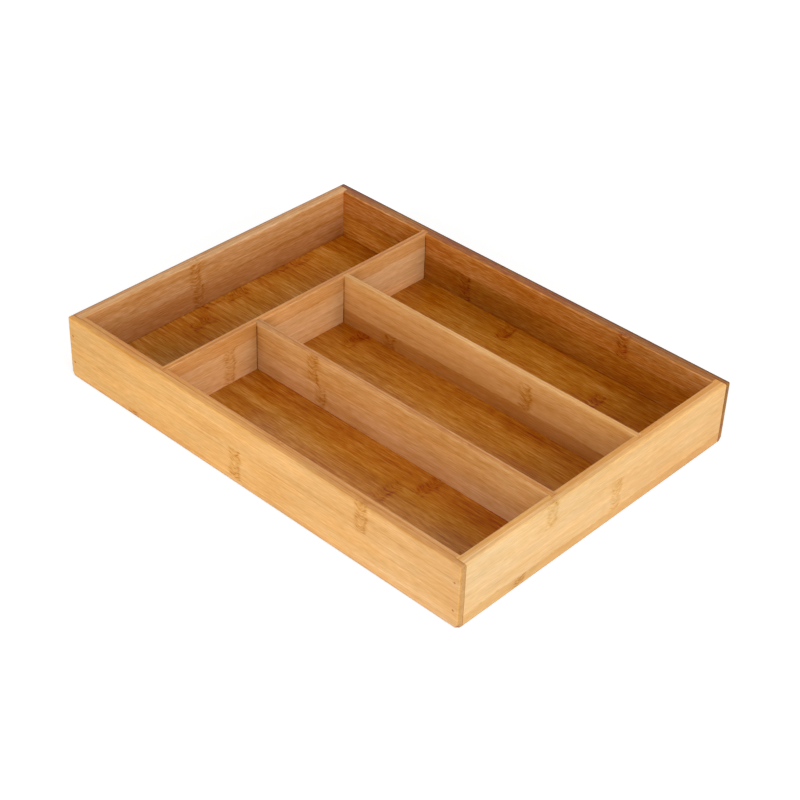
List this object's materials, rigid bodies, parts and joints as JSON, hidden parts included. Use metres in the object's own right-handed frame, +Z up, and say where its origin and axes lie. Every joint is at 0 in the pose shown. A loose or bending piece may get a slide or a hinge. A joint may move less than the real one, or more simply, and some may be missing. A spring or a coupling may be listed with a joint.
{
  "type": "cutlery tray",
  "caption": "Flat rectangular wooden tray with a short compartment across one end and parallel long ones beside it, for sorting cutlery in a drawer.",
  "frame": {"origin": "on the surface the tray stands on, under the middle of its outline", "axes": "+X along the long side, away from the short compartment; +Y across the tray; +Z up, out of the compartments"},
  "size_m": [0.35, 0.2574, 0.047],
  "materials": {
    "long_wall_bamboo": "satin clear coat over fine grain",
    "short_wall_bamboo": "satin clear coat over fine grain",
    "divider_bamboo": "satin clear coat over fine grain",
    "floor_bamboo": "satin clear coat over fine grain",
    "brad_steel": "dull"
  },
  "bodies": {
    "root": {"front_wall": "long_wall_bamboo", "rear_wall": "long_wall_bamboo", "left_wall": "short_wall_bamboo", "right_wall": "short_wall_bamboo", "cross_divider": "divider_bamboo", "front_divider": "divider_bamboo", "rear_divider": "divider_bamboo", "floor_panel": "floor_bamboo", "corner_brads": "brad_steel"}
  },
  "joints": []
}
